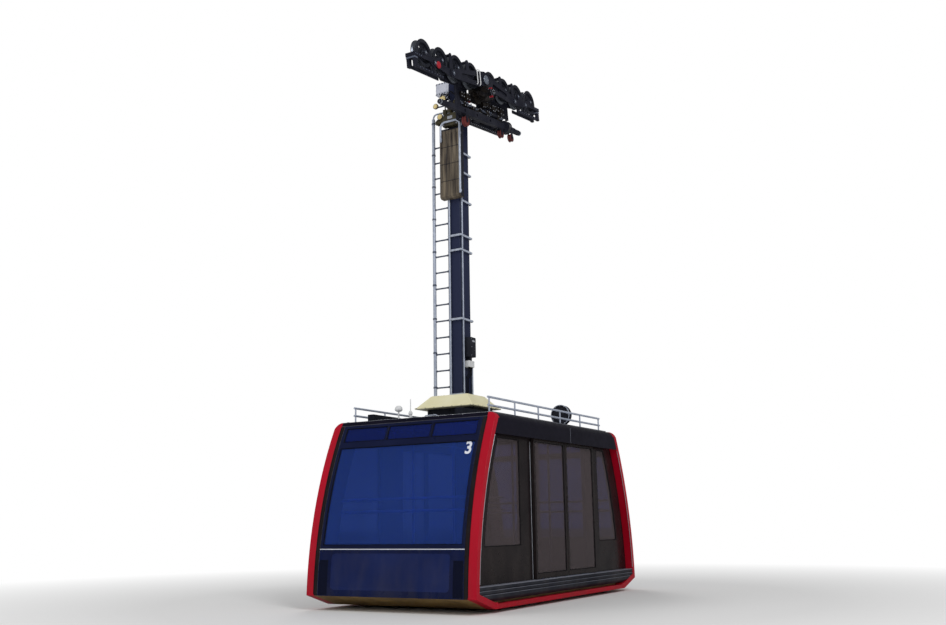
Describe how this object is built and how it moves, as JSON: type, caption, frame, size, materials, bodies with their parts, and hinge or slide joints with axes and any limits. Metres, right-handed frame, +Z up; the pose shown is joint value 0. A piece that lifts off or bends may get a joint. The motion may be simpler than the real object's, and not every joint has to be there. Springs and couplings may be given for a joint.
{
  "type": "aerial tramway cable car cabin",
  "caption": "Reversible tramway cabin with red end hoops and sliding doors, hung by an offset column from a wheeled rope carriage.",
  "frame": {"origin": "on the axis of the track rope, at the middle of the carriage", "axes": "+X towards the far end, level, in the rope's plane; the rope rises 8 degrees towards it; +Y to the hanger's side; +Z up"},
  "size_m": [5.42, 2.76, 9.0975],
  "materials": {
    "red_shell": "red gloss gelcoat",
    "end_panel_navy": "dark navy gloss",
    "dark_frame": "near-black coated profile",
    "tinted_glass": "tinted safety glass",
    "fender_rubber": "grey ribbed rubber",
    "floor_panel": "beige coated underside",
    "roof_sheet": "light grey sheet",
    "galvanised_steel": "galvanised tube",
    "white_plastic": "white moulding",
    "roof_beam_paint": "dark paint",
    "cover_cream": "cream moulding",
    "hanger_paint": "dark blue-grey paint",
    "bright_steel": "turned steel",
    "casing_bronze": "bronze brown sheet",
    "hydraulic_paint": "olive paint",
    "box_grey": "dark grey box",
    "wheel_steel": "worn dark steel",
    "carriage_paint": "weathered grey paint",
    "brake_paint": "greasy dark paint",
    "roller_rubber": "rubber lined roller"
  },
  "bodies": {
    "carriage": {"rocker_1": "carriage_paint", "rocker_2": "carriage_paint", "rocker_3": "carriage_paint", "rocker_4": "carriage_paint", "half_beam_near": "carriage_paint", "half_beam_far": "carriage_paint", "main_frame": "carriage_paint", "rope_brake": "brake_paint", "rope_guides": "carriage_paint", "haul_beam": "carriage_paint"},
    "hanger": {"end_hoop_near": "red_shell", "end_hoop_far": "red_shell", "sill_rails": "red_shell", "end_panel_near": "end_panel_navy", "end_panel_far": "end_panel_navy", "end_frame_near": "dark_frame", "end_frame_far": "dark_frame", "side_wall_left": "dark_frame", "side_wall_right": "dark_frame", "door_header_left": "dark_frame", "door_header_right": "dark_frame", "end_glass_near": "tinted_glass", "end_glass_far": "tinted_glass", "side_glass_left": "tinted_glass", "side_glass_right": "tinted_glass", "fenders": "fender_rubber", "floor": "floor_panel", "roof": "roof_sheet", "interior_rails": "galvanised_steel", "roof_rails": "galvanised_steel", "ladder": "galvanised_steel", "conduits": "galvanised_steel", "roof_fittings": "white_plastic", "roof_beams": "roof_beam_paint", "foot_cover": "cover_cream", "hanger_column": "hanger_paint", "hanger_head": "hanger_paint", "hanger_pin": "bright_steel", "head_casing": "casing_bronze", "hydraulic_unit": "hydraulic_paint", "junction_box": "box_grey"},
    "door_left_near": {"door_left_near": "dark_frame", "door_glass_left_near": "tinted_glass"},
    "door_left_far": {"door_left_far": "dark_frame", "door_glass_left_far": "tinted_glass"},
    "door_right_near": {"door_right_near": "dark_frame", "door_glass_right_near": "tinted_glass"},
    "door_right_far": {"door_right_far": "dark_frame", "door_glass_right_far": "tinted_glass"},
    "wheel_1": {"wheel_1": "wheel_steel"},
    "wheel_2": {"wheel_2": "wheel_steel"},
    "wheel_3": {"wheel_3": "wheel_steel"},
    "wheel_4": {"wheel_4": "wheel_steel"},
    "wheel_5": {"wheel_5": "wheel_steel"},
    "wheel_6": {"wheel_6": "wheel_steel"},
    "wheel_7": {"wheel_7": "wheel_steel"},
    "wheel_8": {"wheel_8": "wheel_steel"},
    "guide_roller_1": {"guide_roller_1": "roller_rubber"},
    "guide_roller_2": {"guide_roller_2": "roller_rubber"},
    "guide_roller_3": {"guide_roller_3": "roller_rubber"}
  },
  "joints": [
    {"name": "hanger_swing", "type": "hinge", "parent": "carriage", "child": "hanger", "pos_m": [-0.02783, 0, 0.19805], "axis": [0, 1, 0], "range_deg": [-30, 30]},
    {"name": "wheel_1_spin", "type": "hinge", "parent": "carriage", "child": "wheel_1", "pos_m": [-1.84281, 0, -0.03683], "axis": [0, 1, 0], "continuous": true},
    {"name": "wheel_2_spin", "type": "hinge", "parent": "carriage", "child": "wheel_2", "pos_m": [-1.34767, 0, 0.03276], "axis": [0, 1, 0], "continuous": true},
    {"name": "wheel_3_spin", "type": "hinge", "parent": "carriage", "child": "wheel_3", "pos_m": [-0.85254, 0, 0.10235], "axis": [0, 1, 0], "continuous": true},
    {"name": "wheel_4_spin", "type": "hinge", "parent": "carriage", "child": "wheel_4", "pos_m": [-0.35741, 0, 0.17193], "axis": [0, 1, 0], "continuous": true},
    {"name": "wheel_5_spin", "type": "hinge", "parent": "carriage", "child": "wheel_5", "pos_m": [0.29617, 0, 0.26379], "axis": [0, 1, 0], "continuous": true},
    {"name": "wheel_6_spin", "type": "hinge", "parent": "carriage", "child": "wheel_6", "pos_m": [0.7913, 0, 0.33337], "axis": [0, 1, 0], "continuous": true},
    {"name": "wheel_7_spin", "type": "hinge", "parent": "carriage", "child": "wheel_7", "pos_m": [1.28644, 0, 0.40296], "axis": [0, 1, 0], "continuous": true},
    {"name": "wheel_8_spin", "type": "hinge", "parent": "carriage", "child": "wheel_8", "pos_m": [1.78157, 0, 0.47255], "axis": [0, 1, 0], "continuous": true},
    {"name": "guide_roller_1_spin", "type": "hinge", "parent": "carriage", "child": "guide_roller_1", "pos_m": [-0.49599, 0, -0.6958], "axis": [0, 1, 0], "continuous": true},
    {"name": "guide_roller_2_spin", "type": "hinge", "parent": "carriage", "child": "guide_roller_2", "pos_m": [0.72193, 0, -0.50948], "axis": [0, 1, 0], "continuous": true},
    {"name": "guide_roller_3_spin", "type": "hinge", "parent": "carriage", "child": "guide_roller_3", "pos_m": [1.09625, 0, -0.45688], "axis": [0, 1, 0], "continuous": true},
    {"name": "door_left_near_slide", "type": "slide", "parent": "hanger", "child": "door_left_near", "axis": [-1, 0, 0], "range_m": [0, 0.8]},
    {"name": "door_left_far_slide", "type": "slide", "parent": "hanger", "child": "door_left_far", "axis": [1, 0, 0], "range_m": [0, 0.8]},
    {"name": "door_right_near_slide", "type": "slide", "parent": "hanger", "child": "door_right_near", "axis": [-1, 0, 0], "range_m": [0, 0.8]},
    {"name": "door_right_far_slide", "type": "slide", "parent": "hanger", "child": "door_right_far", "axis": [1, 0, 0], "range_m": [0, 0.8]}
  ],
  "couplings": [
    {"joint": "door_left_far_slide", "follows": "door_left_near_slide", "ratio": 1},
    {"joint": "door_right_far_slide", "follows": "door_right_near_slide", "ratio": 1}
  ]
}
